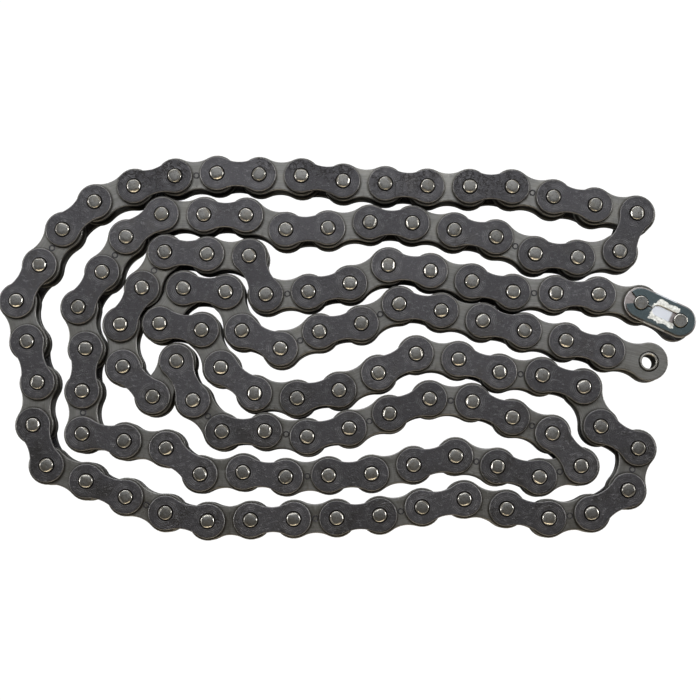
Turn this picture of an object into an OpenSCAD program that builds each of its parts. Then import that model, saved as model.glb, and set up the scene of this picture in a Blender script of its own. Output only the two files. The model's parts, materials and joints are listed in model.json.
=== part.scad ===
// Roller drive chain, 120 links of 5/8 inch pitch with riveted pins, open at both ends.
// It lies on its side in hairpin strands. Every pin stands along +Z and the lowest pin ends are at z = 0.
// Odd links are outer links (two plates pressed on two pins). Even links are inner links (two plates
// pressed on two bushes, with a free roller on each). Link 1 is the connecting link, with its spring clip.
// Link k runs from pin k to pin k + 1, and pin 121 is the open bush that the connecting link joins.

/* [Pins, bushes and rollers] */
// Distance from one pin to the next
pitch = 15.875; // [15.7:0.025:16.1]
// Diameter of a pin where it turns in its bush
pin_d = 5.08; // [4.6:0.01:5.4]
// Length of a riveted pin
pin_len = 17; // [16.6:0.1:19]
// Outside diameter of a bush
bush_d = 7; // [6.6:0.05:7.4]
// Diameter of a roller
roller_d = 10.16; // [9.5:0.01:10.4]
// Clear width between the two plates of an inner link
inner_width = 6.35; // [6.2:0.05:7]
// Gap all round between a pin and its bush
pin_gap = 0.05; // [0.03:0.01:0.1]
// Gap all round between a bush and its roller
roller_gap = 0.1; // [0.05:0.01:0.15]

/* [Plates] */
// Thickness of the link plates
plate_t = 2; // [1.5:0.1:2.2]
// Height of an outer plate at its round ends
outer_h = 12.8; // [11.5:0.1:13]
// Height of an outer plate at its waist
outer_waist = 9.2; // [8:0.1:11]
// Height of an inner plate at its round ends
inner_h = 14.4; // [12.8:0.1:14.5]
// Height of an inner plate at its waist
inner_waist = 10.6; // [9:0.1:12]
// Gap between the faces of an inner and an outer plate
face_gap = 0.2; // [0.1:0.05:0.3]
// Diameter of the ring-shaped punch mark on some inner plates
ring_d = 2.6; // [2:0.1:3.2]

/* [Connecting link] */
// Height of the straight-sided cover plate
cover_h = 12.2; // [11.5:0.1:12.6]
// Thickness of the cover plate
cover_t = 1.8; // [1.5:0.1:2]
// Thickness of the spring clip
clip_t = 1.1; // [0.8:0.1:1.3]
// Height of the spring clip across its two arms
clip_h = 11; // [10:0.1:11.4]
// Diameter of the neck that the clip snaps round
neck_d = 4.1; // [3.8:0.1:4.4]
// Height of a connecting pin's head above the clip
head_t = 0.9; // [0.6:0.1:1.2]
// Width of the slit between the two arms, beside the second pin
slit_w = 0.4; // [0.3:0.1:0.8]
// Opening angle of the mouth between the two tips
mouth_angle = 56; // [30:1:70]

/* [Hidden] */
$fn = 48;

// The lay: each entry is a pin at a bend and the point it lies towards, in whole millimetres, one strand to
// a list. From the bend before it, the links run straight towards that point.
start = [123, 13];
clip_strand = [[2, 108, 20], [3, 93, 23], [5, 61, 24], [7, 30, 32], [8, 15, 34], [9, 0, 27],
    [10, -15, 24], [11, -31, 23]];
fold_in = [[12, -37, 37], [14, -68, 39], [15, -77, 26], [16, -85, 12], [17, -84, -4], [18, -73, -15],
    [19, -64, -2], [20, -58, -16], [21, -47, -28]];
inner_strand_out = [[22, -31, -28], [23, -16, -30], [24, 0, -27], [26, 30, -16], [27, 46, -17],
    [29, 76, -29], [30, 86, -41]];
inner_strand_back = [[31, 70, -45], [33, 39, -37], [35, 7, -44], [37, -25, -45], [38, -41, -43],
    [39, -56, -44], [40, -68, -34], [42, -99, -29]];
inside_climb = [[43, -99, -13], [44, -98, 3], [45, -101, 18], [47, -84, 44], [48, -71, 53]];
upper_strand_out = [[50, -40, 53], [51, -25, 48], [52, -10, 48], [53, 6, 50], [54, 22, 50],
    [56, 53, 45], [57, 68, 39], [58, 84, 37], [59, 100, 39], [60, 108, 54]];
top_strand_back = [[62, 76, 60], [63, 60, 64], [65, 28, 64], [67, -3, 66], [68, -18, 68], [70, -50, 69],
    [71, -65, 68], [72, -81, 64], [73, -96, 58]];
outside_descent = [[74, -107, 48], [76, -124, 21], [78, -116, -9], [79, -117, -25], [80, -112, -40]];
bottom_strand_out = [[83, -68, -58], [84, -53, -61], [87, -5, -60], [88, 11, -59], [90, 43, -53],
    [92, 74, -60], [93, 90, -58]];
right_climb = [[94, 104, -49], [95, 107, -34], [96, 93, -26], [97, 87, -11]];
middle_strand_back = [[98, 71, -7], [99, 56, -6], [100, 40, -1], [101, 24, 1], [102, 10, -7],
    [103, -4, -13], [104, -20, -16], [105, -35, -14], [106, -48, -4], [107, -55, 10], [108, -70, 12]];
fold_out = [[109, -62, 25], [110, -46, 24], [111, -40, 10]];
open_end_strand = [[112, -26, 3], [113, -11, 9], [114, 4, 12], [115, 18, 19], [116, 34, 17],
    [120, 96, 2], [121, 112, -2]];
route = concat(clip_strand, fold_in, inner_strand_out, inner_strand_back, inside_climb,
    upper_strand_out, top_strand_back, outside_descent, bottom_strand_out, right_climb,
    middle_strand_back, fold_out, open_end_strand);
links = max([for (bend = route) bend[0]]) - 1;

// Pins in order, laid one pitch apart from bend to bend, then centred on the origin
function heading(k, p) =
    let (bend = [for (b = route) if (b[0] > k) b][0]) atan2(bend[2] - p.y, bend[1] - p.x);
laid = [for (k = 1, p = start; k <= links + 1;
    p = k <= links ? p + pitch * [cos(heading(k, p)), sin(heading(k, p))] : p, k = k + 1) p];
laid_x = [for (p = laid) p.x];
laid_y = [for (p = laid) p.y];
centre = [min(laid_x) - inner_h / 2 + max(laid_x) + outer_h / 2, min(laid_y) + max(laid_y)] / 2;
function pin_at(k) = laid[k - 1] - centre;
function link_heading(k) = heading(k, laid[k - 1]);

// Links that swing: the clip end down to link 4, and the open end from link 118
CLIP_END_INNER = [2, 4];
OPEN_END_INNER = [118, 120];
MOVING_INNER = concat(CLIP_END_INNER, OPEN_END_INNER);
MOVING_OUTER = [3, 119];
MOVING_ROLLERS = [for (k = MOVING_INNER, side = [0, 1]) k + side];

// The rest of the lay is one body, built in four stretches: its first link, then the last of each
STRETCHES = [1, 2, 3, 4];
stretch_ends = [4, 31, 59, 88, 117];
function stretch_links(s, odd) =
    [for (k = [stretch_ends[s - 1] + 1 : stretch_ends[s]]) if (k % 2 == odd) k];

// Inner links whose upper plate shows its ring-shaped punch mark
ringed = [4, 10, 14, 20, 22, 24, 26, 28, 30, 32, 36, 42, 46, 56, 62, 70, 74, 82, 86, 88, 92, 94, 98,
    112, 114];

// Small fits: under and over the clip, round its necks, beside a roller, round a pressed pin or bush
clip_under = 0.03;
clip_over = 0.07;
neck_gap = 0.05;
roller_side = 0.1;
press_gap = 0.01;
seat_step = 0.02;

// Heights, counted from the middle of the chain's width
mid_z = pin_len / 2;
inner_z = inner_width / 2;
bush_z = inner_z + plate_t + face_gap / 2;
outer_z = inner_z + plate_t + face_gap;
clip_z = outer_z + cover_t + clip_under;
neck_z = clip_z + clip_t + clip_over;
roller_z = inner_z - roller_side;

// Edges and marks
seat_r = pin_d / 2 - seat_step;
pin_edge = 0.45;
bush_edge = 0.1;
bush_mouth = 0.5;
roller_edge = 0.3;
ring_w = 0.35;
ring_depth = 0.25;
slot_start = 4.7;
overlap = 1;
end_sides = 64;
waist_sides = 96;

// Places its children on link k: the link's first pin at the origin, its second at one pitch along +X
module on_link(k) {
    translate([pin_at(k).x, pin_at(k).y, mid_z]) rotate([0, 0, link_heading(k)]) children();
}

// A round pair of ends drawn in to a waist by one arc on each side, which is tangent to both ends
module waisted_outline(height, waist) {
    end_r = height / 2;
    arc_r = ((pitch / 2) ^ 2 + (waist / 2) ^ 2 - end_r ^ 2) / (height - waist);
    arc_y = waist / 2 + arc_r;
    meet = [pitch / 2, arc_y] * arc_r / (end_r + arc_r);
    difference() {
        union() {
            for (x = [0, pitch]) translate([x, 0]) circle(end_r, $fn = end_sides);
            translate([pitch / 2, 0]) polygon([
                [-pitch / 2, 0], [-meet.x, meet.y - arc_y], [meet.x, meet.y - arc_y],
                [pitch / 2, 0], [meet.x, arc_y - meet.y], [-meet.x, arc_y - meet.y]]);
        }
        for (side = [-1, 1]) translate([pitch / 2, side * arc_y]) circle(arc_r, $fn = waist_sides);
    }
}

// A plate from z up, with a hole for each pin or bush
module plate(height, waist, hole_r, z) {
    translate([0, 0, z]) linear_extrude(plate_t) difference() {
        waisted_outline(height, waist);
        for (x = [0, pitch]) translate([x, 0]) circle(hole_r);
    }
}

module outer_plate(side) {
    plate(outer_h, outer_waist, seat_r + press_gap, side > 0 ? outer_z : -outer_z - plate_t);
}

module inner_plate(side, ring = false) {
    difference() {
        plate(inner_h, inner_waist, bush_d / 2 + press_gap, side > 0 ? inner_z : -inner_z - plate_t);
        if (ring) translate([pitch / 2, 0, inner_z + plate_t - ring_depth]) punch_ring();
    }
}

module punch_ring() {
    difference() {
        cylinder(d = ring_d, h = overlap);
        translate([0, 0, -overlap]) cylinder(d = ring_d - 2 * ring_w, h = 3 * overlap);
    }
}

// A riveted pin: full diameter between the outer plates, its seats a press fit in them
module pin() {
    rotate_extrude() polygon([
        [0, -mid_z], [seat_r - pin_edge, -mid_z], [seat_r, -mid_z + pin_edge], [seat_r, -outer_z],
        [pin_d / 2, -outer_z], [pin_d / 2, outer_z], [seat_r, outer_z],
        [seat_r, mid_z - pin_edge], [seat_r - pin_edge, mid_z], [0, mid_z]]);
}

module bush() {
    bore_r = pin_d / 2 + pin_gap;
    rotate_extrude() polygon([
        [bore_r + bush_mouth, -bush_z], [bush_d / 2 - bush_edge, -bush_z],
        [bush_d / 2, -bush_z + bush_edge], [bush_d / 2, bush_z - bush_edge],
        [bush_d / 2 - bush_edge, bush_z], [bore_r + bush_mouth, bush_z],
        [bore_r, bush_z - bush_mouth], [bore_r, -bush_z + bush_mouth]]);
}

module roller() {
    bore_r = bush_d / 2 + roller_gap;
    rotate_extrude() polygon([
        [bore_r, -roller_z], [roller_d / 2 - roller_edge, -roller_z],
        [roller_d / 2, -roller_z + roller_edge], [roller_d / 2, roller_z - roller_edge],
        [roller_d / 2 - roller_edge, roller_z], [bore_r, roller_z]]);
}

// A connecting pin: riveted below, and above the cover plate a neck for the clip and a head
module connecting_pin() {
    top_z = neck_z + head_t;
    rotate_extrude() polygon([
        [0, -mid_z], [seat_r - pin_edge, -mid_z], [seat_r, -mid_z + pin_edge], [seat_r, -outer_z],
        [pin_d / 2, -outer_z], [pin_d / 2, outer_z], [seat_r, outer_z], [seat_r, clip_z],
        [neck_d / 2, clip_z], [neck_d / 2, neck_z], [seat_r, neck_z],
        [seat_r, top_z - pin_edge / 2], [seat_r - pin_edge / 2, top_z], [0, top_z]]);
}

module obround(height) {
    for (x = [0, pitch]) translate([x, 0]) circle(d = height, $fn = end_sides);
    translate([0, -height / 2]) square([pitch, height]);
}

// Sub-parts of the connecting link
module connecting_link_cover_plate() {
    color("#a5a39d") on_link(1) translate([0, 0, outer_z]) linear_extrude(cover_t) difference() {
        obround(cover_h);
        for (x = [0, pitch]) translate([x, 0]) circle(seat_r + press_gap);
    }
}

module connecting_link_base_plate() {
    color("#3b3a3d") on_link(1) outer_plate(-1);
}

module connecting_link_pins() {
    color("#b8b4aa") on_link(1) for (x = [0, pitch]) translate([x, 0]) connecting_pin();
}

// A flat U: closed round the first pin, and slit and open-mouthed round the second
module spring_clip() {
    neck_r = neck_d / 2 + neck_gap;
    mouth = clip_h * [cos(mouth_angle / 2), sin(mouth_angle / 2)];
    color("#33474c") on_link(1) translate([0, 0, clip_z]) linear_extrude(clip_t) difference() {
        obround(clip_h);
        for (x = [0, pitch]) translate([x, 0]) circle(neck_r);
        translate([0, -neck_r]) square([pitch - slot_start - neck_r, 2 * neck_r]);
        translate([pitch - slot_start - neck_r, 0]) circle(neck_r);
        translate([0, -slit_w / 2]) square([pitch, slit_w]);
        translate([pitch, 0]) polygon([[0, 0], [mouth.x, -mouth.y], [mouth.x, mouth.y]]);
    }
}

// Sub-parts of one swinging link
module link_inner_plate_upper(k) {
    color("#8d8a82") on_link(k) inner_plate(1, ring = len(search(k, ringed)) > 0);
}

module link_inner_plate_lower(k) {
    color("#8d8a82") on_link(k) inner_plate(-1);
}

module link_bushes(k) {
    color("#c9c6bd") on_link(k) for (x = [0, pitch]) translate([x, 0]) bush();
}

module link_outer_plate_upper(k) {
    color("#3b3a3d") on_link(k) outer_plate(1);
}

module link_outer_plate_lower(k) {
    color("#3b3a3d") on_link(k) outer_plate(-1);
}

module link_pins(k) {
    color("#b8b4aa") on_link(k) for (x = [0, pitch]) translate([x, 0]) pin();
}

module roller_on_pin(k) {
    color("#4d4a45") translate([pin_at(k).x, pin_at(k).y, mid_z]) roller();
}

// Sub-parts of one stretch of the lay
module stretch_outer_plates_upper(s) {
    for (k = stretch_links(s, 1)) link_outer_plate_upper(k);
}

module stretch_outer_plates_lower(s) {
    for (k = stretch_links(s, 1)) link_outer_plate_lower(k);
}

module stretch_inner_plates_upper(s) {
    for (k = stretch_links(s, 0)) link_inner_plate_upper(k);
}

module stretch_inner_plates_lower(s) {
    for (k = stretch_links(s, 0)) link_inner_plate_lower(k);
}

module stretch_pins(s) {
    for (k = stretch_links(s, 1)) link_pins(k);
}

module stretch_bushes(s) {
    for (k = stretch_links(s, 0)) link_bushes(k);
}

module stretch_rollers(s) {
    for (k = stretch_links(s, 0), side = [0, 1]) roller_on_pin(k + side);
}

connecting_link_cover_plate();
connecting_link_base_plate();
connecting_link_pins();
spring_clip();
for (k = MOVING_INNER) {
    link_inner_plate_upper(k);
    link_inner_plate_lower(k);
    link_bushes(k);
}
for (k = MOVING_OUTER) {
    link_outer_plate_upper(k);
    link_outer_plate_lower(k);
    link_pins(k);
}
for (k = MOVING_ROLLERS) roller_on_pin(k);
for (s = STRETCHES) {
    stretch_outer_plates_upper(s);
    stretch_outer_plates_lower(s);
    stretch_inner_plates_upper(s);
    stretch_inner_plates_lower(s);
    stretch_pins(s);
    stretch_bushes(s);
    stretch_rollers(s);
}
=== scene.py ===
# %% [markdown]
# # A roller drive chain, folded on a table
#
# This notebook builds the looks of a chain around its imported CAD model. The chain lies on its side, so every
# pin stands upright and every plate lies flat. The CAD model gives the place of each pin, plate, bush and
# roller. Each cell first says what the real piece is and why it is made this way, then makes it.

# %% Load the frame
import json
import bpy
import numpy as np
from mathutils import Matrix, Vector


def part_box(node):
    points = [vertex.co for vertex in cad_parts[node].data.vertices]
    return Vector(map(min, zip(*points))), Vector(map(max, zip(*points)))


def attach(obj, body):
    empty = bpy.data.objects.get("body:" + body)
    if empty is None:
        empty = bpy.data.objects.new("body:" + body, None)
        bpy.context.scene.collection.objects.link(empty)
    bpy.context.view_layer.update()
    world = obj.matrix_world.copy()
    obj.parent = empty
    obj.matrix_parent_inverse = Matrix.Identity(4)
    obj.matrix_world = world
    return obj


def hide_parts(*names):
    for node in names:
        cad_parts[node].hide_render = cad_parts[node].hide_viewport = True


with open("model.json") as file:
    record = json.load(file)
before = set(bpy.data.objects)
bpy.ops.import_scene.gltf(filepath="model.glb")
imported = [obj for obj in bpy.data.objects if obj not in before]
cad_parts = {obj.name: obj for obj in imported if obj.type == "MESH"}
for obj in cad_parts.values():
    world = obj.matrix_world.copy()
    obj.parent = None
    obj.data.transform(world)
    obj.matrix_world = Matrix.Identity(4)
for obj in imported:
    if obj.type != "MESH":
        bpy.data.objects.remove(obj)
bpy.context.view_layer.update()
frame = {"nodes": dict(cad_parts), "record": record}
nodes = frame["nodes"]
body_of = {name: body for body, names in frame["record"]["behaviour"]["bodies"].items() for name in names}
MM = 0.001

# %% [markdown]
# ## Where the pins are
#
# A chain is a row of pins exactly one pitch apart, so once the pins are known everything else has its place.
# They could be typed in, but the CAD mesh already holds them. Each node may hold many separate solids. They
# are told apart by spreading the lowest vertex number along the triangles until it stops changing, and the
# middle of a round solid is its axis.

# %% Tell the solids of a node apart
def solids_of(name):
    """Each row is the mean position of one solid: the mean of the vertices that triangles join together."""
    mesh = nodes[name].data
    mesh.calc_loop_triangles()
    points = np.empty(len(mesh.vertices) * 3, np.float32)
    mesh.vertices.foreach_get("co", points)
    corners = np.empty(len(mesh.loop_triangles) * 3, np.int32)
    mesh.loop_triangles.foreach_get("vertices", corners)
    points, same = np.unique(np.round(points.reshape(-1, 3).astype(float), 6), axis=0, return_inverse=True)
    triangles = same.ravel()[corners].reshape(-1, 3)
    label = np.arange(len(points))
    while True:
        spread = label.copy()
        np.minimum.at(spread, triangles.ravel(), np.repeat(label[triangles].min(1), 3))
        spread = spread[spread]
        if (spread == label).all():
            break
        label = spread
    _, group = np.unique(label, return_inverse=True)
    group = group.ravel()
    count = np.bincount(group)
    return np.stack([np.bincount(group, points[:, axis]) / count for axis in range(3)], axis=1)


pin_nodes = [name for name in nodes if name.endswith("pins")]
bush_nodes = [name for name in nodes if name.endswith("bushes")]
pin_centres = {name: solids_of(name)[:, :2] for name in pin_nodes}
bush_centres = {name: solids_of(name)[:, :2] for name in bush_nodes}
every_pin = np.concatenate(list(pin_centres.values()))
every_bush = np.concatenate(list(bush_centres.values()))
bare_bush = np.linalg.norm(every_bush[:, None] - every_pin[None], axis=2).min(1) > MM
joints_xy = np.concatenate([every_pin, every_bush[bare_bush]])
print(len(every_pin), "pins,", len(every_bush), "bushes,", len(joints_xy), "places where links meet")

# %% Find the two pins of every plate
def pairs_of(centres):
    """For each plate centre, the two nearest pin places: each is half a pitch from the middle of its plate.
    They keep the order of the list, in which pins come first, so a bare bush is always the second."""
    order = np.argsort(np.linalg.norm(centres[:, None] - joints_xy[None], axis=2), axis=1)
    return joints_xy[np.sort(order[:, :2], axis=1)]


plate_nodes = [name for name in nodes if "plate" in name]
plate_pairs = {name: pairs_of(solids_of(name)[:, :2]) for name in plate_nodes}
spans = np.concatenate([np.linalg.norm(pair[:, 1] - pair[:, 0], axis=1) for pair in plate_pairs.values()])
PITCH = float(np.median(spans))
print(f"{len(spans)} plates, pitch {PITCH / MM:.3f} mm, spread {(spans.max() - spans.min()) / MM:.4f} mm")

# %% [markdown]
# ## Grids of points into pieces
#
# Every piece below is a grid of points worked out for one link with its first pin at the origin, then copied
# to each link by turning and moving the whole array at once. Two facts are kept with each point, because the
# finishes need them: how much of an edge it is, and where it lies on its own link. Rolling marks must turn
# with the link, which a pattern on the table's coordinates would not do.

# %% Copy a shape to its places and make it an object
def outward(points, faces):
    """The faces, turned over if they hold a negative volume: a sixth of the sum of a . (b x c) over the
    triangles that fan out from each face's first corner."""
    volume = 0.0
    for block in faces:
        a = points[block[:, :1]]
        b, c = points[block[:, 1:-1]], points[block[:, 2:]]
        volume += (a * np.cross(b, c)).sum() / 6
    return faces if volume > 0 else [block[:, ::-1] for block in faces]


SCATTER, STRETCH = np.array([4129.1, 7433.7]), 437.5453


def seed_of(places):
    """A steady number from 0 to 1 for each place. The sine of a large multiple of the position is multiplied
    again, and only what follows the decimal point is kept, so near places get unlike numbers."""
    return np.modf(np.abs(np.sin(places @ SCATTER) * STRETCH))[0]


def make_piece(name, node, shape, starts, ends, material, stands_for=True):
    """Puts a shape at every start, turned so that its X runs to the end, and shows it in place of a CAD
    node. A mark on a piece only rides with its node, because the piece itself already stands for it."""
    points, faces, edge = shape
    faces = outward(points, faces)
    copies = len(starts)
    along = (ends - starts) / np.linalg.norm(ends - starts, axis=1, keepdims=True)
    across = np.stack([-along[:, 1], along[:, 0]], axis=1)
    x, y, z = points.T
    plan = starts[:, None] + along[:, None] * x[None, :, None] + across[:, None] * y[None, :, None]
    placed = np.concatenate([plan, np.broadcast_to(z[None, :, None], (copies, len(z), 1))], axis=2)
    shift = len(points) * np.arange(copies)[:, None, None]
    polygons = [(block[None] + shift).reshape(-1, block.shape[1]).tolist() for block in faces]
    mesh = bpy.data.meshes.new(name)
    mesh.from_pydata(placed.reshape(-1, 3), [], [polygon for block in polygons for polygon in block])
    mark = mesh.attributes.new("edge", "FLOAT", "POINT")
    mark.data.foreach_set("value", np.tile(edge, copies).astype(np.float32))
    own = np.empty((copies, len(points), 3), np.float32)
    own[..., :2] = points[None, :, :2]
    own[..., 2] = seed_of((starts + ends) / 2)[:, None]
    place = mesh.attributes.new("on_link", "FLOAT_VECTOR", "POINT")
    place.data.foreach_set("vector", own.ravel())
    mesh.shade_smooth()
    mesh.set_sharp_from_angle(angle=np.radians(38))
    mesh.materials.append(material)
    piece = bpy.data.objects.new(name, mesh)
    bpy.context.scene.collection.objects.link(piece)
    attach(piece, body_of[node])
    if stands_for:
        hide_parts(node)
    return piece


def weld(points, faces, edge):
    """Points within a micrometre of each other become one point."""
    _, first, same = np.unique(np.round(points / MM, 3), axis=0, return_index=True, return_inverse=True)
    return points[first], [same.ravel()[block] for block in faces], edge[first]


def grid_faces(rows, columns, around=True, closed=False):
    """Quads of a grid of points. Its columns may meet round the back, and its last row may meet its first."""
    j = np.arange(rows if closed else rows - 1)[:, None]
    i = np.arange(columns if around else columns - 1)[None]
    a, b = j * columns + i, j * columns + (i + 1) % columns
    c, d = (j + 1) % rows * columns + (i + 1) % columns, (j + 1) % rows * columns + i
    return np.stack([a, b, c, d], axis=-1)

# %% [markdown]
# ## Link plates
#
# A link plate is stamped from steel strip: two round ends drawn in to a waist, and a hole at each end. The
# punch rolls the upper edge over and leaves the lower one sharper. A flat shape with two holes is awkward to
# grid, but half of it is easy: one hole, and one border round it. The rows of the grid run from the hole's
# wall over the face, round the edge, down the side and back underneath. The half is mirrored for the rest.

# %% The border of half a plate
OUTER_PLATE = {"height": 12.8 * MM, "waist": 9.2 * MM}
INNER_PLATE = {"height": 14.4 * MM, "waist": 10.6 * MM}
COVER_PLATE = {"height": 12.2 * MM, "waist": 12.2 * MM}


def half_border(height, waist, end_steps=22, waist_steps=5, middle_steps=4):
    """Points, outward normals and a mark for the middle line of the half border round a pin at the origin.
    The end is a circle of half the height. The waist is an arc that is tangent to both ends, so its centre
    is above the plate's middle at the sum of the two radii from the pin. Straight sides have no such arc."""
    end_r, half = height / 2, PITCH / 2
    if height - waist > 0.01 * MM:
        arc_r = (half ** 2 + (waist / 2) ** 2 - end_r ** 2) / (height - waist)
        centre = np.array([half, waist / 2 + arc_r])
        start = np.arctan2(centre[1], centre[0])
        turn = np.linspace(-np.pi / 2, start - np.pi, waist_steps, endpoint=False)
        facing = np.stack([np.cos(turn), np.sin(turn)], axis=1)
        side, side_normal = centre + arc_r * facing, -facing
    else:
        start = np.pi / 2
        x = np.linspace(half, 0, waist_steps, endpoint=False)
        side = np.stack([x, np.full(waist_steps, end_r)], axis=1)
        side_normal = np.tile([0.0, 1.0], (waist_steps, 1))
    turn = np.linspace(start, 2 * np.pi - start, end_steps)
    end_normal = np.stack([np.cos(turn), np.sin(turn)], axis=1)
    flip = np.array([1, -1])
    y = np.linspace(-waist / 2, waist / 2, middle_steps + 2)[1:-1]
    middle = np.stack([np.full(middle_steps, half), y], axis=1)
    border = np.concatenate([side, end_r * end_normal, side[::-1] * flip, middle])
    normal = np.concatenate([side_normal, end_normal, side_normal[::-1] * flip, np.zeros((middle_steps, 2))])
    return border, normal, np.arange(len(border)) >= len(border) - middle_steps


for label, plate in (("outer", OUTER_PLATE), ("inner", INNER_PLATE), ("cover", COVER_PLATE)):
    border = half_border(**plate)[0]
    print(label, "plate:", len(border), "points,", f"reaches {-border[:, 0].min() / MM:.2f} mm past the pin")

# %% The whole plate
LAND, BAND = 0.2 * MM, 0.3 * MM


def plate_shape(height, waist, hole_r, low, high, roll=0.32 * MM, burr=0.1 * MM, hole_edge=0.12 * MM):
    """Rows from the hole's foot, up its wall, over a land round the hole and a band inside the rolled edge,
    round that edge by steps of a quarter circle, down the side and back under. Columns follow the border.
    The middle line carries no edge and no side."""
    border, normal, middle = half_border(height, waist)
    scale = np.where(middle, (waist / 2 - roll) / (waist / 2), 1.0)[:, None]
    face = (border - roll * normal) * np.stack([np.ones(len(border)), scale[:, 0]], axis=1)
    way = face / np.linalg.norm(face, axis=1, keepdims=True)
    on_middle = middle | np.roll(middle, 1) | np.roll(middle, -1)
    inset = face - BAND * np.where(on_middle[:, None], way, normal)
    rows = [(hole_r * way, low, 0.2), (hole_r * way, high - hole_edge, 0.2),
            ((hole_r + hole_edge) * way, high, 0.5), ((hole_r + hole_edge + LAND) * way, high, 0.0),
            (inset, high, 0.0), (face, high, 0.55)]
    rows += [(face + roll * np.sin(turn) * normal, high - roll * (1 - np.cos(turn)), 1.0)
             for turn in np.radians([38, 68, 90])]
    rows += [(face + roll * normal, low + burr, 0.5), (face + (roll - burr) * normal, low, 0.9)]
    points = np.concatenate([np.column_stack([xy, np.full(len(xy), z)]) for xy, z, _ in rows])
    edge = np.repeat([mark for _, _, mark in rows], len(border))
    faces = grid_faces(len(rows), len(border), closed=True)
    inner = on_middle & np.roll(on_middle, -1)
    side_rows = np.arange(5, len(rows) - 1)
    keep = np.ones(faces.shape[:2], bool)
    keep[np.ix_(side_rows, inner)] = False
    half = faces[keep]
    other = points * [-1, 1, 1] + [PITCH, 0, 0]
    both = np.concatenate([points, other])
    return weld(both, [np.concatenate([half, half[:, ::-1] + len(points)])], np.tile(edge, 2))


sample = plate_shape(**OUTER_PLATE, hole_r=2.5 * MM, low=0, high=2 * MM)
print("a plate has", len(sample[0]), "points and", len(sample[1][0]), "faces")

# %% [markdown]
# ## Rollers, bushes and pins
#
# These are turned on a lathe or drawn as tube, so each is a profile carried round an axis. A roller and a
# bush are tubes: their profile is a closed loop. A pin is solid, so its two ends close on a small disc. The
# ends of a riveted pin are struck at four places, which spreads the metal and leaves a land with uneven flat
# sides inside a round rim. The sloping rim is what flashes under a light.

# %% Turn a profile round an axis
def turned_shape(radius, height, mark, steps, closed):
    """Row j is a circle of radius[j] at height[j]. A radius row may itself be one value for each angle."""
    turn = np.arange(steps) * 2 * np.pi / steps
    radius = np.array([np.broadcast_to(r, steps) for r in radius], float)
    height = np.array([np.broadcast_to(h, steps) for h in height], float)
    points = np.stack([radius * np.cos(turn), radius * np.sin(turn), height], axis=-1).reshape(-1, 3)
    faces = [grid_faces(len(radius), steps, closed=closed).reshape(-1, 4)]
    if not closed:
        faces += [np.arange(steps)[None, ::-1], (len(radius) - 1) * steps + np.arange(steps)[None]]
    return points, faces, np.repeat(np.asarray(mark, float), steps)


def tube_shape(inner_r, outer_r, low, high, mouth, rim, mouth_mark, rim_mark, steps=28):
    """A tube whose bore opens by a mouth chamfer and whose outside edges are rolled over by a rim. The two
    marks say how much bare metal and painted highlight the mouth and the rim get."""
    soft = 0.3 * rim
    r = np.array([inner_r + mouth, outer_r - rim, outer_r - soft, outer_r, outer_r, outer_r - soft,
                  outer_r - rim, inner_r + mouth, inner_r, inner_r])
    z = np.array([low, low, low + soft, low + rim, high - rim, high - soft, high, high, high - mouth,
                  low + mouth])
    outside = [0.8 * rim_mark, rim_mark, 0.4 * rim_mark]
    mark = [mouth_mark, *outside, *outside[::-1], mouth_mark, 0.6 * mouth_mark, 0.6 * mouth_mark]
    return turned_shape(r, z, mark, steps, True)


CHORDS = {"at": np.radians([[10], [95], [190], [275]]), "away": np.array([[0.66], [0.80], [0.74], [0.83]])}
LAND_R = 0.85


def pin_shape(seat_r, low, high, steps=28):
    """A pin with struck ends. The land is a circle cut by four chords at uneven distances, so its radius is
    the least of the circle's and of each chord's distance over the cosine of the angle to that chord."""
    turn = np.arange(steps) * 2 * np.pi / steps
    cosine = np.maximum(np.cos(turn - CHORDS["at"]), 0.01)
    land = seat_r * np.minimum(CHORDS["away"] / cosine, LAND_R).min(0)
    drop = 0.22 * MM + 0.8 * (LAND_R * seat_r - land)
    wall = 0.75 * MM
    r = [0.3 * land, land - 0.1 * MM, land, 0.5 * (land + 0.97 * seat_r), 0.97 * seat_r, seat_r, seat_r]
    z = [0, 0, 0.03 * MM, 0.45 * drop, drop, drop + 0.1 * MM, wall]
    mark = [0, 0, 0.7, 1, 1, 0.9, 0.1]
    z = [low + depth for depth in z] + [high - depth for depth in z[::-1]]
    return turned_shape(r + r[::-1], z, mark + mark[::-1], steps, False)


print("a pin has", len(pin_shape(2.5 * MM, 0, 17 * MM)[0]), "points")

# %% [markdown]
# ## The spring clip
#
# The clip is a flat U of spring steel. It is closed round the free pin's neck, and its two arms almost meet
# beside the other pin, behind which the tips flare open. Its outside is an obround and its inside a slot, a
# slit and a mouth. Both outlines get the same number of points, so the clip is a ribbon between them.

# %% A ribbon between two outlines
def ribbon_shape(outside, inside, low, high, roll):
    """Rows run over the upper face, down the outside, under and up the inside, each a small step from one of
    the two outlines towards the other. The ribbon's two ends are closed by one face each."""
    across = outside - inside
    across /= np.linalg.norm(across, axis=1, keepdims=True)
    rows = [(inside + roll * across, high, 0.7), (outside - 2 * roll * across, high, 0.0),
            (outside - roll * across, high, 0.6), (outside - 0.3 * roll * across, high - 0.3 * roll, 1.0),
            (outside, high - roll, 0.8), (outside, low, 0.5), (inside, low, 0.5), (inside, high - roll, 1.0)]
    points = np.concatenate([np.column_stack([xy, np.full(len(xy), z)]) for xy, z, _ in rows])
    count = len(outside)
    faces = [grid_faces(len(rows), count, around=False, closed=True).reshape(-1, 4),
             (np.arange(len(rows)) * count)[None], (np.arange(len(rows)) * count + count - 1)[None, ::-1]]
    return points, faces, np.repeat([mark for _, _, mark in rows], count)


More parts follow.
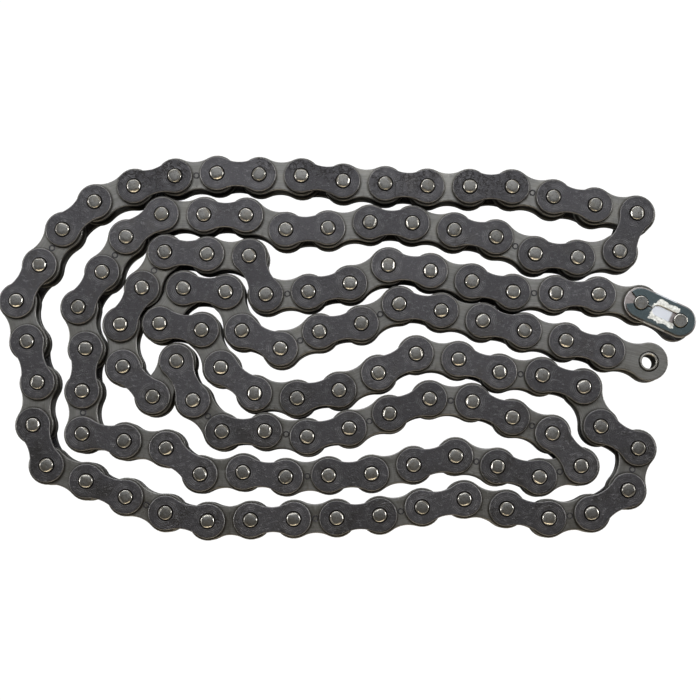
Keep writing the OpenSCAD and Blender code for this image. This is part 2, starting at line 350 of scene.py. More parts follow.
def arc(centre_x, radius, first, last, count):
    """Points of a circle round a pin on the link's X axis, from one angle to the other in degrees."""
    turn = np.radians(np.linspace(first, last, count))
    return np.stack([centre_x + radius * np.cos(turn), radius * np.sin(turn)], axis=1)


def line(x0, y0, x1, y1, count):
    """Points along a straight line, its first end left out because the piece before it holds that end."""
    share = np.linspace(0, 1, count + 1)[1:, None]
    return np.array([x0, y0]) * (1 - share) + np.array([x1, y1]) * share


def clip_shape(height, neck_r, slot_start, slit_w, mouth, low, high, roll=0.16 * MM):
    """Half of each outline, from the mouth to the closed end, and its mirror image. The outside is two arcs
    of half the height and the straight between them. The inside is two arcs round the necks, a slit between
    the arms and a slot that ends in a quarter circle."""
    end_r, slot_x = height / 2, PITCH - slot_start - neck_r
    outside = np.concatenate([arc(PITCH, end_r, mouth / 2, 90, 10), line(PITCH, end_r, slot_x, end_r, 6),
                              line(slot_x, end_r, 0, end_r, 6), arc(0, end_r, 90, 180, 11)[1:]])
    slit_turn = np.degrees(np.arcsin(slit_w / 2 / neck_r))
    inside = np.concatenate([arc(PITCH, neck_r, mouth / 2, 180 - slit_turn, 10),
                             line(PITCH - neck_r, slit_w / 2, slot_x + neck_r, slit_w / 2, 2),
                             arc(slot_x, neck_r, slit_turn, 90, 5)[1:],
                             line(slot_x, neck_r, 0, neck_r, 6), arc(0, neck_r, 90, 180, 11)[1:]])
    flip = np.array([1, -1])
    whole = [np.concatenate([half, half[-2::-1] * flip]) for half in (outside, inside)]
    return ribbon_shape(*whole, low, high, roll)


CLIP = {"height": 11 * MM, "neck_r": 2.1 * MM, "slot_start": 4.7 * MM, "slit_w": 0.4 * MM, "mouth": 56}
print("the clip has", len(clip_shape(**CLIP, low=0, high=MM)[0]), "points")

# %% [markdown]
# ## Shared effects
#
# Five effects are used by more than one steel, so each is a node group that puts out masks and heights, and
# each material sets its own amounts. Rubbed bare metal and a painted highlight follow the edge mark that every
# piece carries. Rolling lines and the distance from the nearer pin follow the place on the link, so they turn
# with it. Oil and pits need no direction and follow the table. Old oil is thickest on the strands at the far
# side, where it has wrinkled.

# %% Helpers for node trees
def new_group(name, inputs, outputs):
    """A node group with named number inputs and outputs, and its two end nodes."""
    tree = bpy.data.node_groups.new(name, "ShaderNodeTree")
    for label, value in inputs.items():
        socket = tree.interface.new_socket(label, in_out="INPUT", socket_type="NodeSocketFloat")
        socket.default_value = value
    for label in outputs:
        tree.interface.new_socket(label, in_out="OUTPUT", socket_type="NodeSocketFloat")
    return tree, tree.nodes.new("NodeGroupInput"), tree.nodes.new("NodeGroupOutput")


def put(tree, value, socket):
    """Links an output to a socket, or writes a plain number into it."""
    if isinstance(value, bpy.types.NodeSocket):
        tree.links.new(value, socket)
    else:
        socket.default_value = value


def noise(tree, vector, scale, detail=3.0, rough=0.55):
    """Smooth noise from 0 to 1."""
    node = tree.nodes.new("ShaderNodeTexNoise")
    node.inputs["Detail"].default_value = detail
    node.inputs["Roughness"].default_value = rough
    put(tree, vector, node.inputs["Vector"])
    put(tree, scale, node.inputs["Scale"])
    return node.outputs["Fac"]


def ramp(tree, value, low, high, to_low=0.0, to_high=1.0):
    """Stretches the range from low to high onto a new range, smoothly and without running past its ends."""
    node = tree.nodes.new("ShaderNodeMapRange")
    node.interpolation_type = "SMOOTHSTEP"
    for socket, given in zip(("Value", "From Min", "From Max", "To Min", "To Max"),
                             (value, low, high, to_low, to_high)):
        put(tree, given, node.inputs[socket])
    return node.outputs["Result"]


def reckon(tree, operation, a, b=0.0):
    """One step of arithmetic."""
    node = tree.nodes.new("ShaderNodeMath")
    node.operation = operation
    put(tree, a, node.inputs[0])
    put(tree, b, node.inputs[1])
    return node.outputs[0]


def attribute(tree, name, output):
    """Something that every point of a piece carries."""
    node = tree.nodes.new("ShaderNodeAttribute")
    node.attribute_name = name
    return node.outputs[output]


def parts_of(tree, vector):
    """The three numbers of a vector."""
    node = tree.nodes.new("ShaderNodeSeparateXYZ")
    tree.links.new(vector, node.inputs[0])
    return node.outputs


def stretched(tree, vector, scale):
    """The vector with each axis multiplied, which draws a pattern out along an axis."""
    node = tree.nodes.new("ShaderNodeMapping")
    node.inputs["Scale"].default_value = scale
    tree.links.new(vector, node.inputs["Vector"])
    return node.outputs["Vector"]


def table_place(tree):
    """Object coordinates, in metres."""
    return tree.nodes.new("ShaderNodeTexCoord").outputs["Object"]


def tell(name, tree):
    """Prints how large a node tree has grown."""
    print(name, "has", len(tree.nodes), "nodes")

# %% Bare edges with a painted highlight
# Edges are made light: partly rubbed bare metal, partly a painted highlight where edges catch the light.
EDGE_SHARE, PATCH_SHARE, FULLY_BARE_AND_HIGHLIGHTED = 0.8, 0.4, 1.05
bare_and_highlighted_edges, given, made = new_group("bare_edges_and_highlight", {"Spread": 0.35, "Breakup": 900.0}, ["Mask"])
patch = noise(bare_and_highlighted_edges, table_place(bare_and_highlighted_edges), given.outputs["Breakup"], 4.0)
threshold = reckon(bare_and_highlighted_edges, "SUBTRACT", 1.0, given.outputs["Spread"])
total = reckon(bare_and_highlighted_edges, "ADD", reckon(bare_and_highlighted_edges, "MULTIPLY", attribute(bare_and_highlighted_edges, "edge", "Fac"), EDGE_SHARE),
               reckon(bare_and_highlighted_edges, "MULTIPLY", patch, PATCH_SHARE))
bare_and_highlighted_edges.links.new(ramp(bare_and_highlighted_edges, total, threshold, FULLY_BARE_AND_HIGHLIGHTED), made.inputs["Mask"])
tell("bare_edges_and_highlight", bare_and_highlighted_edges)

# %% Rolling lines
FINE_LINES, BROAD_LINES = (90, 2600, 60), (60, 520, 40)
rolled, given, made = new_group("rolling_lines", {"Fineness": 1.0}, ["Height", "Mask"])
link_place = attribute(rolled, "on_link", "Vector")
streak = noise(rolled, stretched(rolled, link_place, FINE_LINES), given.outputs["Fineness"], 3.0)
broad = noise(rolled, stretched(rolled, link_place, BROAD_LINES), given.outputs["Fineness"], 2.0)
rolled.links.new(streak, made.inputs["Height"])
both = reckon(rolled, "ADD", reckon(rolled, "MULTIPLY", streak, 0.6), reckon(rolled, "MULTIPLY", broad, 0.4))
rolled.links.new(ramp(rolled, both, 0.40, 0.62), made.inputs["Mask"])
tell("rolling_lines", rolled)

# %% Distance from the nearer pin
near_pin, given, made = new_group("near_pin", {"Ring spacing": 0.55}, ["Distance", "Rings"])
apart = parts_of(near_pin, attribute(near_pin, "on_link", "Vector"))
to_second = reckon(near_pin, "ABSOLUTE", reckon(near_pin, "SUBTRACT", apart["X"], PITCH))
x_away = reckon(near_pin, "MINIMUM", reckon(near_pin, "ABSOLUTE", apart["X"]), to_second)
squares = reckon(near_pin, "ADD", reckon(near_pin, "POWER", x_away, 2.0),
                 reckon(near_pin, "MULTIPLY", apart["Y"], apart["Y"]))
distance = reckon(near_pin, "DIVIDE", reckon(near_pin, "SQRT", squares), MM)
near_pin.links.new(distance, made.inputs["Distance"])
turns = reckon(near_pin, "DIVIDE", distance, given.outputs["Ring spacing"])
sine = reckon(near_pin, "SINE", reckon(near_pin, "MULTIPLY", turns, 2 * np.pi))
wave = reckon(near_pin, "MULTIPLY", reckon(near_pin, "ADD", sine, 1.0), 0.5)
BREAKS = 260.0
broken = ramp(near_pin, noise(near_pin, table_place(near_pin), BREAKS, 3.0), 0.42, 0.66)
near_pin.links.new(reckon(near_pin, "MULTIPLY", wave, broken), made.inputs["Rings"])
tell("near_pin", near_pin)

# %% Oil film
FAR_STRANDS = {"from": 0.045, "to": 0.080}
SMEAR_STRETCH, WINDING_SCALE, THICK_SCALE = (600, 1100, 600), 380.0, 55.0
oiled, given, made = new_group("oil_film", {"Patch size": 120.0, "Cover": 0.5},
                               ["Mask", "Streaks", "Wrinkles"])
pool = noise(oiled, table_place(oiled), given.outputs["Patch size"], 5.0, 0.62)
cover = reckon(oiled, "SUBTRACT", 1.0, given.outputs["Cover"])
oiled.links.new(ramp(oiled, pool, reckon(oiled, "SUBTRACT", cover, 0.08), reckon(oiled, "ADD", cover, 0.08)),
                made.inputs["Mask"])
smear = noise(oiled, stretched(oiled, table_place(oiled), SMEAR_STRETCH), 1.0, 5.0, 0.65)
oiled.links.new(ramp(oiled, smear, 0.54, 0.72), made.inputs["Streaks"])
swirl = noise(oiled, table_place(oiled), WINDING_SCALE, 2.5)
winding = reckon(oiled, "ABSOLUTE", reckon(oiled, "SUBTRACT", swirl, 0.5))
far = ramp(oiled, parts_of(oiled, table_place(oiled))["Y"], FAR_STRANDS["from"], FAR_STRANDS["to"], 0.12, 1.0)
patchy = ramp(oiled, noise(oiled, table_place(oiled), THICK_SCALE, 2.0), 0.44, 0.56)
thick = reckon(oiled, "MULTIPLY", patchy, far)
oiled.links.new(reckon(oiled, "MULTIPLY", ramp(oiled, winding, 0.045, 0.005), thick), made.inputs["Wrinkles"])
tell("oil_film", oiled)

# %% Pits
pitted, given, made = new_group("pits", {"Size": 2600.0, "Cover": 0.4}, ["Height", "Mask"])
grain = noise(pitted, table_place(pitted), given.outputs["Size"], 4.0, 0.7)
pitted.links.new(grain, made.inputs["Height"])
limit = reckon(pitted, "SUBTRACT", 1.0, given.outputs["Cover"])
low, high = reckon(pitted, "SUBTRACT", limit, 0.06), reckon(pitted, "ADD", limit, 0.08)
pitted.links.new(ramp(pitted, grain, low, high), made.inputs["Mask"])
tell("pits", pitted)

# %% [markdown]
# ## Steels
#
# All of it is steel, so all of it is nearly metallic, and the finishes differ in tint, gloss and dirt. Outer
# plates are shot-blasted and chemically blacked, with an oil film. Inner plates keep a warmer, lighter grey
# with rolling lines. Pins are ground, dull on the struck land and bright on the rim, with brown oil on them.
# Each finish starts from a base tint and lays dirt and bare metal over it, by masks from the groups. Some of
# these also paint light and shade: highlights on edges, shade round the pins and along plate ends, and glare
# and reflection on the connecting link.

# %% Helpers for a steel
def use(tree, group, **amounts):
    """Places a node group in a material, with its own amounts."""
    node = tree.nodes.new("ShaderNodeGroup")
    node.node_tree = group
    for label, value in amounts.items():
        node.inputs[label.replace("_", " ")].default_value = value
    return node.outputs


def mix(tree, mask, a, b):
    """From colour a to colour b by the mask."""
    node = tree.nodes.new("ShaderNodeMix")
    node.data_type = "RGBA"
    put(tree, mask, node.inputs[0])
    for socket, value in ((node.inputs[6], a), (node.inputs[7], b)):
        put(tree, value if isinstance(value, bpy.types.NodeSocket) else (*value, 1.0), socket)
    return node.outputs[2]


def lay_over(tree, tint, colour, mask, share=1.0):
    """The tint, turned towards a colour where the mask is, by a share of the mask."""
    return mix(tree, mask if share == 1.0 else reckon(tree, "MULTIPLY", mask, share), tint, colour)


def within(tree, distance, full_at, none_at):
    """A mask round each pin, full nearer than one distance and gone beyond the other, in millimetres."""
    return ramp(tree, distance, none_at, full_at)


def new_steel(name, metallic=0.9):
    """A material with its Principled node."""
    material = bpy.data.materials.new(name)
    material.use_nodes = True
    shader = material.node_tree.nodes["Principled BSDF"]
    shader.inputs["Metallic"].default_value = metallic
    return material, material.node_tree, shader


def roughness(tree, mask, bare, covered):
    """From one roughness to another by the mask."""
    return ramp(tree, mask, 0.0, 1.0, bare, covered)


def bump(tree, shader, height, strength, distance=0.05 * MM):
    """A Bump node that turns a height into the surface normal."""
    node = tree.nodes.new("ShaderNodeBump")
    node.inputs["Strength"].default_value = strength
    node.inputs["Distance"].default_value = distance
    tree.links.new(height, node.inputs["Height"])
    tree.links.new(node.outputs["Normal"], shader.inputs["Normal"])


def toned(tree, colour, spread):
    """The colour multiplied by a number near 1 that differs from link to link."""
    seed = parts_of(tree, attribute(tree, "on_link", "Vector"))["Z"]
    node = tree.nodes.new("ShaderNodeVectorMath")
    node.operation = "SCALE"
    tree.links.new(colour, node.inputs[0])
    tree.links.new(ramp(tree, seed, 0.0, 1.0, 1.0 - spread, 1.0 + spread), node.inputs["Scale"])
    return node.outputs["Vector"]

# %% Blacked outer plates
OUTER = {"blacking": (0.048, 0.047, 0.051), "blasted": (0.112, 0.111, 0.118), "oil": (0.040, 0.038, 0.037),
         "smear": (0.18, 0.18, 0.19), "rubbed ring": (0.145, 0.144, 0.150), "bare": (0.30, 0.295, 0.29),
         "wrinkle": (0.012, 0.011, 0.010), "painted shade round the pin": (0.006, 0.005, 0.004)}
outer_steel, tree, shader = new_steel("blacked_outer_steel", 0.88)
pits = use(tree, pitted, Size=1500.0, Cover=0.36)
film = use(tree, oiled, Patch_size=95.0, Cover=0.42)
bare_and_highlighted = use(tree, bare_and_highlighted_edges, Spread=0.40, Breakup=700.0)
pin = use(tree, near_pin, Ring_spacing=0.62)
on_rings = reckon(tree, "MULTIPLY", pin["Rings"], within(tree, pin["Distance"], full_at=4.6, none_at=5.9))
# Painted shade: a near-black ring in the gap round each pin, where the pin stands in its hole.
pin_gap_shade = within(tree, pin["Distance"], full_at=2.8, none_at=3.15)
tint = mix(tree, pits["Mask"], OUTER["blacking"], OUTER["blasted"])
tint = lay_over(tree, tint, OUTER["oil"], film["Mask"], 0.6)
tint = lay_over(tree, tint, OUTER["smear"], film["Streaks"], 0.38)
tint = lay_over(tree, tint, OUTER["rubbed ring"], on_rings, 0.5)
# The light colour on the edges is rubbed bare metal with a painted highlight.
tint = lay_over(tree, tint, OUTER["bare"], bare_and_highlighted["Mask"], 0.75)
tint = lay_over(tree, tint, OUTER["wrinkle"], film["Wrinkles"], 0.85)
tint = lay_over(tree, tint, OUTER["painted shade round the pin"], pin_gap_shade)
tree.links.new(toned(tree, tint, 0.12), shader.inputs["Base Color"])
smeared = reckon(tree, "MULTIPLY", film["Streaks"], 0.08)
tree.links.new(reckon(tree, "SUBTRACT", roughness(tree, film["Mask"], 0.46, 0.33), smeared),
               shader.inputs["Roughness"])
relief = reckon(tree, "ADD", pits["Height"], reckon(tree, "MULTIPLY", on_rings, 0.25))
relief = reckon(tree, "ADD", relief, reckon(tree, "MULTIPLY", film["Streaks"], 0.5))
relief = reckon(tree, "SUBTRACT", relief, reckon(tree, "MULTIPLY", film["Wrinkles"], 1.5))
bump(tree, shader, relief, 0.9, 0.12 * MM)
tell("blacked_outer_steel", tree)

# %% Grey inner plates
INNER = {"dull": (0.112, 0.111, 0.106), "rolled": (0.145, 0.144, 0.139), "oil": (0.098, 0.094, 0.083),
         "pit": (0.078, 0.076, 0.070), "bare": (0.34, 0.335, 0.32), "painted contact shade": (0.028, 0.025, 0.020),
         "painted shade round the bush": (0.004, 0.004, 0.003)}


def inner_finish(name, shaded_to):
    """Rolled grey steel. A dark line of painted shade lies along the edge of the outer plate's end, about each
    pin whose place along the link is less than the given one: an open end has no outer plate over it."""
    material, tree, shader = new_steel(name, 0.88)
    lines = use(tree, rolled, Fineness=1.0)
    film = use(tree, oiled, Patch_size=130.0, Cover=0.46)
    pits = use(tree, pitted, Size=1300.0, Cover=0.34)
    bare_and_highlighted = use(tree, bare_and_highlighted_edges, Spread=0.36, Breakup=800.0)
    pin = use(tree, near_pin, Ring_spacing=0.55)
    along = parts_of(tree, attribute(tree, "on_link", "Vector"))["X"]
    # Painted shade: a dark line just beyond the end of the outer plate, where it lies over the inner plate.
    contact_shade = reckon(tree, "MULTIPLY", within(tree, pin["Distance"], full_at=6.3, none_at=7.5),
                      ramp(tree, along, shaded_to, shaded_to - 2 * MM))
    # Painted shade: a near-black ring in the gap round each bush.
    bush_gap_shade = within(tree, pin["Distance"], full_at=3.7, none_at=3.95)
    tint = mix(tree, lines["Mask"], INNER["dull"], INNER["rolled"])
    tint = lay_over(tree, tint, INNER["oil"], film["Mask"], 0.55)
    tint = lay_over(tree, tint, INNER["pit"], pits["Mask"], 0.4)
    tint = lay_over(tree, tint, INNER["bare"], bare_and_highlighted["Mask"], 0.7)
    tint = lay_over(tree, tint, INNER["painted contact shade"], contact_shade, 0.85)
    tint = lay_over(tree, tint, INNER["painted shade round the bush"], bush_gap_shade)
    tree.links.new(toned(tree, tint, 0.10), shader.inputs["Base Color"])
    tree.links.new(roughness(tree, film["Mask"], 0.46, 0.34), shader.inputs["Roughness"])
    relief = reckon(tree, "ADD", reckon(tree, "MULTIPLY", lines["Height"], 0.5), pits["Height"])
    bump(tree, shader, relief, 0.6, 0.07 * MM)
    tell(name, tree)
    return material


inner_steel = inner_finish("grey_inner_steel", 2 * PITCH)
open_end_steel = inner_finish("grey_open_end_steel", 0.6 * PITCH)

# %% Ground pins
GROUND = {"land": (0.112, 0.111, 0.107), "pit": (0.055, 0.054, 0.050), "oil": (0.082, 0.075, 0.060),
          "bare": (0.47, 0.455, 0.415)}
pin_steel, tree, shader = new_steel("ground_pin_steel", 0.92)
film = use(tree, oiled, Patch_size=300.0, Cover=0.45)
pits = use(tree, pitted, Size=1700.0, Cover=0.42)
bare_and_highlighted = use(tree, bare_and_highlighted_edges, Spread=0.34, Breakup=420.0)
tint = mix(tree, pits["Mask"], GROUND["land"], GROUND["pit"])
tint = lay_over(tree, tint, GROUND["oil"], film["Mask"], 0.5)
# The rim is made light: rubbed bare metal with a painted highlight.
tint = lay_over(tree, tint, GROUND["bare"], bare_and_highlighted["Mask"], 0.85)
tree.links.new(toned(tree, tint, 0.12), shader.inputs["Base Color"])
tree.links.new(roughness(tree, bare_and_highlighted["Mask"], 0.42, 0.22), shader.inputs["Roughness"])
bump(tree, shader, pits["Height"], 0.6, 0.08 * MM)
tell("ground_pin_steel", tree)

# %% Rollers and bushes
def oiled_tube(name, clean, oily, bare, rubbed, film, bare_and_highlighted, rough):
    """A plain round finish: clean to oily by the film, bare with a painted highlight on edges, smoother under
    the oil.
    """
    material, tree, shader = new_steel(name)
    film = use(tree, oiled, **film)
    bare_and_highlighted = use(tree, bare_and_highlighted_edges, **bare_and_highlighted)
    tint = lay_over(tree, mix(tree, film["Mask"], clean, oily), bare, bare_and_highlighted["Mask"], rubbed)
    tree.links.new(tint, shader.inputs["Base Color"])
    tree.links.new(roughness(tree, film["Mask"], *rough), shader.inputs["Roughness"])
    tell(name, tree)
    return material


roller_steel = oiled_tube("oiled_roller_steel", clean=(0.13, 0.122, 0.11), oily=(0.05, 0.043, 0.035),
                          bare=(0.36, 0.34, 0.31), rubbed=0.6, film={"Patch_size": 200.0, "Cover": 0.55},
                          bare_and_highlighted={"Spread": 0.25, "Breakup": 600.0}, rough=(0.42, 0.26))
bush_steel = oiled_tube("drawn_bush_steel", clean=(0.10, 0.096, 0.088), oily=(0.05, 0.045, 0.036),
                        bare=(0.50, 0.49, 0.46), rubbed=0.8, film={"Patch_size": 350.0, "Cover": 0.4},
                        bare_and_highlighted={"Spread": 0.5, "Breakup": 500.0}, rough=(0.36, 0.24))

# %% The bright cover plate
COVER = {"dull": (0.185, 0.165, 0.160), "rolled": (0.235, 0.215, 0.210), "oil": (0.120, 0.100, 0.092),
         "slot_reflection": (0.56, 0.58, 0.62), "bare": (0.62, 0.62, 0.62)}
cover_steel, tree, shader = new_steel("bright_cover_steel")
lines = use(tree, rolled, Fineness=1.0)
film = use(tree, oiled, Patch_size=170.0, Cover=0.42)
bare_and_highlighted = use(tree, bare_and_highlighted_edges, Spread=0.4, Breakup=600.0)
along = parts_of(tree, attribute(tree, "on_link", "Vector"))["X"]
off_middle = reckon(tree, "ABSOLUTE", reckon(tree, "SUBTRACT", along, PITCH / 2))
# Painted reflection: the middle of the cover plate, seen through the clip's slot, is made light blue-grey
# where it reflects the light.
slot_reflection = ramp(tree, off_middle, 4.6 * MM, 3.8 * MM)
tint = mix(tree, lines["Mask"], COVER["dull"], COVER["rolled"])
tint = lay_over(tree, tint, COVER["oil"], film["Mask"], 0.5)
tint = lay_over(tree, tint, COVER["slot_reflection"], slot_reflection)
tint = lay_over(tree, tint, COVER["bare"], bare_and_highlighted["Mask"], 0.8)
tree.links.new(tint, shader.inputs["Base Color"])
tree.links.new(roughness(tree, film["Mask"], 0.40, 0.32), shader.inputs["Roughness"])
bump(tree, shader, lines["Height"], 0.2, 0.02 * MM)
tell("bright_cover_steel", tree)

# %% [markdown]
# ## Tempered clip
#
# The clip is hard-tempered steel, blue-black with a hint of teal. A painted glare lies across the middle
# of its arms, where they catch the light, and the glare has ragged edges. The patch is a band across the arms,
# given by the place along the link and across it, with its edge broken up by noise.

# %% Tempered clip steel
TEMPERED = {"blue-black": (0.050, 0.066, 0.071), "teal": (0.086, 0.106, 0.111), "bare": (0.34, 0.37, 0.38),
            "painted dim glare": (0.50, 0.50, 0.47), "painted full glare": (0.78, 0.79, 0.76),
            "painted shade round the pin": (0.006, 0.006, 0.005)}
GLARE_FROM, GLARE_TO, GLARE_HALF = 2.0 * MM, 11.0 * MM, 4.0 * MM
SOFT_END, SOFT_SIDE, RAGGED_END, RAGGED_SIDE = 0.4 * MM, 0.3 * MM, 5 * MM, 3 * MM
clip_steel, tree, shader = new_steel("tempered_clip_steel", 0.9)
apart = parts_of(tree, attribute(tree, "on_link", "Vector"))
ragged = reckon(tree, "SUBTRACT", noise(tree, table_place(tree), 360.0, 2.5), 0.5)
along = reckon(tree, "ADD", apart["X"], reckon(tree, "MULTIPLY", ragged, RAGGED_END))
off_middle = reckon(tree, "ADD", reckon(tree, "ABSOLUTE", apart["Y"]),
                    reckon(tree, "MULTIPLY", ragged, RAGGED_SIDE))
# Painted glare: a near-white band across the middle of both arms, where they catch the light.
band = reckon(tree, "MULTIPLY", ramp(tree, along, GLARE_FROM - SOFT_END, GLARE_FROM),
              ramp(tree, along, GLARE_TO + SOFT_END, GLARE_TO))
band = reckon(tree, "MULTIPLY", band, ramp(tree, off_middle, GLARE_HALF + SOFT_SIDE, GLARE_HALF))
mottle = noise(tree, table_place(tree), 900.0, 4.0)
pits = use(tree, pitted, Size=1500.0, Cover=0.38)
bare_and_highlighted = use(tree, bare_and_highlighted_edges, Spread=0.38, Breakup=600.0)
pin = use(tree, near_pin, Ring_spacing=0.6)
# Painted shade: a near-black ring round each pin, in the gap under its head.
pin_gap_shade = within(tree, pin["Distance"], full_at=2.75, none_at=2.95)
tint = mix(tree, pits["Mask"], TEMPERED["blue-black"], TEMPERED["teal"])
tint = lay_over(tree, tint, TEMPERED["bare"], bare_and_highlighted["Mask"], 0.8)
bright = mix(tree, ramp(tree, mottle, 0.35, 0.65), TEMPERED["painted dim glare"], TEMPERED["painted full glare"])
tint = lay_over(tree, tint, bright, band)
tint = lay_over(tree, tint, TEMPERED["painted shade round the pin"], pin_gap_shade)
tree.links.new(tint, shader.inputs["Base Color"])
tree.links.new(roughness(tree, band, 0.40, 0.58), shader.inputs["Roughness"])
bump(tree, shader, reckon(tree, "ADD", pits["Height"], mottle), 0.4, 0.06 * MM)
tell("tempered_clip_steel", tree)

# %% [markdown]
# ## Put every link in its place
#
# The heights come from the CAD boxes, and the outlines from the chain's own dimensions. A CAD node that
# holds many plates becomes one piece that holds as many, so each piece still rides on one body.

# %% Plates
SEAT_R, BUSH_R, HOLE_GAP = 2.52 * MM, 3.5 * MM, 0.01 * MM


def levels(name):
    """Lowest and highest height of a node."""
    low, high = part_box(name)
    return low.z, high.z


pieces = []
for name, pairs in plate_pairs.items():
    low, high = levels(name)
    if "inner" in name:
        shape = plate_shape(**INNER_PLATE, hole_r=BUSH_R + HOLE_GAP, low=low, high=high,
                            hole_edge=0.25 * MM)
        steel = open_end_steel if name.startswith("link_120") else inner_steel
    elif "cover" in name:
        shape = plate_shape(**COVER_PLATE, hole_r=SEAT_R + HOLE_GAP, low=low, high=high, roll=0.25 * MM)
        steel = cover_steel
    else:
        shape = plate_shape(**OUTER_PLATE, hole_r=SEAT_R + HOLE_GAP, low=low, high=high,
                            hole_edge=0.3 * MM)
        steel = outer_steel
    pieces.append(make_piece("plates_" + name, name, shape, pairs[:, 0], pairs[:, 1], steel))
print(len(pieces), "plate pieces,", sum(len(piece.data.polygons) for piece in pieces), "faces")

# %% [markdown]
# ## Ring marks
#
# Some inner plates carry a check mark, a plain ring struck by a hollow punch. The punch throws up a small lip
# on both sides of its groove. The CAD plates that have the ring are those with vertices near their middle, so
# the mesh itself says which they are.

# %% Strike the rings
def ringed_pairs(name, pairs, reach=1.5 * MM):
    """The pairs of pins whose plate has CAD vertices within a short reach of its middle."""
    mesh = nodes[name].data
    points = np.empty(len(mesh.vertices) * 3, np.float32)
    mesh.vertices.foreach_get("co", points)
    away = np.linalg.norm(points.reshape(-1, 1, 3)[..., :2] - pairs.mean(1)[None], axis=2)
    return pairs[away.min(0) < reach]


GROOVE_R = 0.99 * MM
LIP_AWAY, LIP_Z = MM * np.array([0.31, 0.25, 0.18, 0.11]), MM * np.array([-0.05, 0.05, 0.07, 0.01])


def ring_shape(face_z):
    """A closed profile turned about the middle of the link. It climbs from the foot of one lip over its crest
    to the groove, and goes down the same way on the other side."""
    radius = GROOVE_R + np.concatenate([-LIP_AWAY, LIP_AWAY[::-1]])
    height = face_z + np.concatenate([LIP_Z, LIP_Z[::-1]])
    points, faces, edge = turned_shape(radius, height, np.zeros(len(radius)), 20, True)
    return points + [PITCH / 2, 0, 0], faces, edge


struck = 0
for name, pairs in plate_pairs.items():
    chosen = ringed_pairs(name, pairs) if "inner" in name and "upper" in name else pairs[:0]
    if len(chosen):
        pieces.append(make_piece("ring_marks_" + name, name, ring_shape(levels(name)[1]), chosen[:, 0],
                                 chosen[:, 1], outer_steel, stands_for=False))
        struck += len(chosen)
print(struck, "ring marks")

# %% [markdown]
# ## Round pieces
#
# A round piece has no direction of its own, but its struck ends and stains should not all face one way.
# Each gets an arbitrary, steady heading from its position.

# %% Rollers, bushes and riveted pins
BUSH_BORE_R, ROLLER_BORE_R, ROLLER_R = 2.59 * MM, 3.6 * MM, 5.08 * MM


def any_heading(centres):
    """A second point for each centre, at an angle taken from the centre's seed."""
    turn = 2 * np.pi * seed_of(centres)
    return centres + MM * np.stack([np.cos(turn), np.sin(turn)], axis=1)


for name in nodes:
    low, high = levels(name)
    if name.startswith("roller") or name.endswith("rollers"):
        centres, steel = solids_of(name)[:, :2], roller_steel
        shape = tube_shape(ROLLER_BORE_R, ROLLER_R, low, high, mouth=0.1 * MM, rim=0.35 * MM,
                           mouth_mark=0.3, rim_mark=1.0)
    elif name.endswith("bushes"):
        centres, steel = bush_centres[name], bush_steel
        shape = tube_shape(BUSH_BORE_R, BUSH_R, low, high, mouth=0.4 * MM, rim=0.15 * MM,
                           mouth_mark=1.0, rim_mark=0.0)
    elif name.endswith("pins") and name != "connecting_link_pins":
        centres, steel = pin_centres[name], pin_steel
        shape = pin_shape(SEAT_R, low, high)
    else:
        continue
    pieces.append(make_piece("round_" + name, name, shape, centres, any_heading(centres), steel))
print(len(pieces), "pieces so far")

# %% The connecting link's pins and clip
link_pins = pin_centres["connecting_link_pins"]
to_bush = np.linalg.norm(link_pins[:, None] - every_bush[None], axis=2).min(1)
free_end, joined_end = link_pins[[np.argmax(to_bush)]], link_pins[[np.argmin(to_bush)]]
cover_top = levels("connecting_link_cover_plate")[1]
clip_low, clip_high = levels("spring_clip")
pin_low, pin_high = levels("connecting_link_pins")
NECK_R, BEVEL = 2.05 * MM, 0.22 * MM
neck_foot, head_under = cover_top + 0.03 * MM, clip_high + 0.07 * MM
foot = [(0.3 * SEAT_R, pin_low, 0), (SEAT_R - 0.4 * MM, pin_low, 0.5), (SEAT_R, pin_low + 0.45 * MM, 1)]
neck = [(SEAT_R, neck_foot, 0.4), (NECK_R, neck_foot, 0.2), (NECK_R, head_under, 0.2),
        (SEAT_R, head_under, 0.3)]
head = [(SEAT_R, pin_high - BEVEL, 0.9), (SEAT_R - 0.3 * BEVEL, pin_high - 0.3 * BEVEL, 1),
        (SEAT_R - BEVEL, pin_high, 1), (0.85 * SEAT_R, pin_high, 0), (0.3 * SEAT_R, pin_high, 0)]
radius, height, mark = np.array(foot + neck + head).T
shape = turned_shape(radius, height, mark, 32, False)
pieces.append(make_piece("connecting_pins", "connecting_link_pins", shape, link_pins,
                         any_heading(link_pins), pin_steel))
shape = clip_shape(**CLIP, low=clip_low, high=clip_high)
pieces.append(make_piece("clip_of_connecting_link", "spring_clip", shape, free_end, joined_end,
                         clip_steel))
print(len(pieces), "pieces,", sum(len(piece.data.polygons) for piece in pieces), "faces")

# %% [markdown]
# ## Table, light and camera
#
# The table is plain and pale. It looks the same brightness everywhere, as on a light table, yet throws
# little light up under the plates, which would wash out the dark gaps. Steel shows what is around it, so the
# lights are large and soft. A broad cool panel hangs beyond the far side, so its glow fades towards the near
# side, and a weak warm one hangs on the near side. Low strips and small panels all round pick out the rims of
# the pins and the sides of the plates. The sky is dim overhead and brighter near the horizon, for the same
# reason, but the camera sees it as white as the table.

# %% The table
PAPER_WHITE = 1.05


def floor_shape(half_side, below):
    """A flat square, a hair below the chain."""
    corner = np.array([[-1, -1], [1, -1], [1, 1], [-1, 1]]) * half_side
    return np.column_stack([corner, np.full(4, -below)])


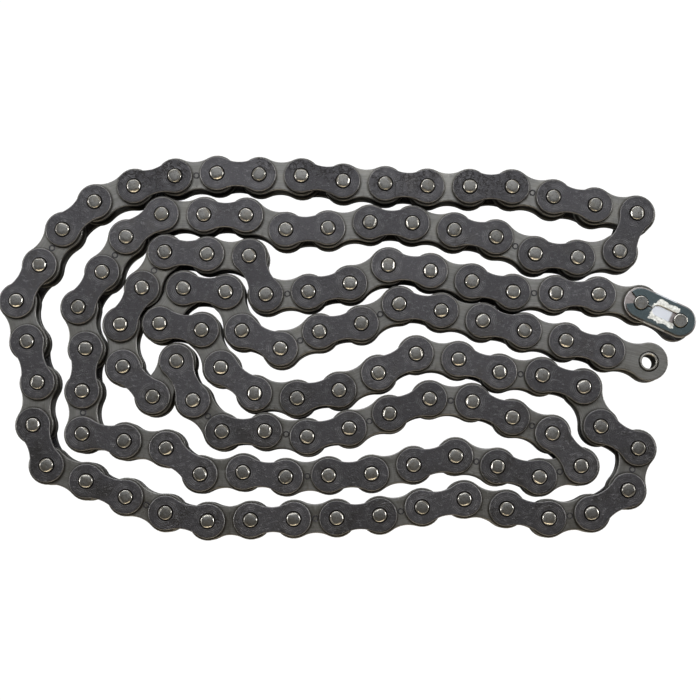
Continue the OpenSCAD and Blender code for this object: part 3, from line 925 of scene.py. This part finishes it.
def white_to_camera(tree, shader, output):
    """Shows plain white to the camera, and the given shader to everything else."""
    glow = tree.nodes.new("ShaderNodeEmission")
    glow.inputs["Strength"].default_value = PAPER_WHITE
    seen = tree.nodes.new("ShaderNodeLightPath")
    blend = tree.nodes.new("ShaderNodeMixShader")
    tree.links.new(seen.outputs["Is Camera Ray"], blend.inputs["Fac"])
    tree.links.new(shader.outputs[0], blend.inputs[1])
    tree.links.new(glow.outputs[0], blend.inputs[2])
    tree.links.new(blend.outputs[0], output.inputs["Surface"])


mesh = bpy.data.meshes.new("table_top")
mesh.from_pydata(floor_shape(half_side=3.0, below=0.01 * MM), [], [[0, 1, 2, 3]])
table = bpy.data.objects.new("table_top", mesh)
bpy.context.scene.collection.objects.link(table)
paper = bpy.data.materials.new("pale_table")
paper.use_nodes = True
tree = paper.node_tree
matt = tree.nodes["Principled BSDF"]
matt.inputs["Base Color"].default_value = (0.10, 0.10, 0.10, 1)
matt.inputs["Roughness"].default_value = 0.9
white_to_camera(tree, matt, tree.nodes["Material Output"])
mesh.materials.append(paper)
print("the table is", round(table.dimensions.x, 2), "m wide")

# %% The lights
from mathutils import Vector


def panel(name, place, size, power, colour=(1, 1, 1)):
    """A soft rectangular light that faces the middle of the chain."""
    light = bpy.data.lights.new(name, "AREA")
    light.shape, light.size, light.size_y = "RECTANGLE", size[0], size[1]
    light.energy, light.color = power, colour
    lamp = bpy.data.objects.new(name, light)
    lamp.location = place
    lamp.rotation_euler = (-Vector(place)).to_track_quat("-Z", "Y").to_euler()
    bpy.context.scene.collection.objects.link(lamp)


panel("far_panel", (0.02, 0.46, 1.00), (0.9, 0.5), 7.0, (0.97, 0.98, 1.0))
panel("far_strip", (-0.15, 0.95, 0.42), (1.2, 0.2), 4.0, (0.95, 0.97, 1.0))
panel("left_panel", (-0.85, 0.10, 0.42), (0.30, 0.25), 3.2)
panel("right_panel", (0.85, 0.15, 0.42), (0.30, 0.25), 4.0)
panel("near_strip", (0.0, -0.85, 0.32), (1.0, 0.15), 2.2, (1.0, 0.84, 0.60))
panel("near_panel", (0.0, -0.50, 1.00), (0.9, 0.4), 1.0, (1.0, 0.84, 0.58))

# %% The sky
SKY = {"overhead": 0.045, "horizon": 0.55, "dim above": 0.60, "bright below": 0.10}
world = bpy.data.worlds.new("studio")
world.use_nodes = True
tree = world.node_tree
upward = parts_of(tree, tree.nodes.new("ShaderNodeTexCoord").outputs["Generated"])["Z"]
tree.nodes["Background"].inputs["Color"].default_value = (1.0, 0.93, 0.82, 1)
glow = ramp(tree, upward, SKY["dim above"], SKY["bright below"], SKY["overhead"], SKY["horizon"])
tree.links.new(glow, tree.nodes["Background"].inputs["Strength"])
white_to_camera(tree, tree.nodes["Background"], tree.nodes["World Output"])
bpy.context.scene.world = world
bpy.context.scene.view_settings.view_transform = "Standard"
tell("the sky", tree)

# %% The camera
lens = bpy.data.cameras.new("above")
lens.lens, lens.sensor_width = 84.0, 36.0
camera = bpy.data.objects.new("above", lens)
camera.location = (0.010, -0.060, 0.620)
camera.rotation_euler = np.radians([5.51, 0.79, 0.10])
bpy.context.scene.collection.objects.link(camera)
bpy.context.scene.camera = camera
print(f"the camera is {camera.location.length:.3f} m from the chain's middle")
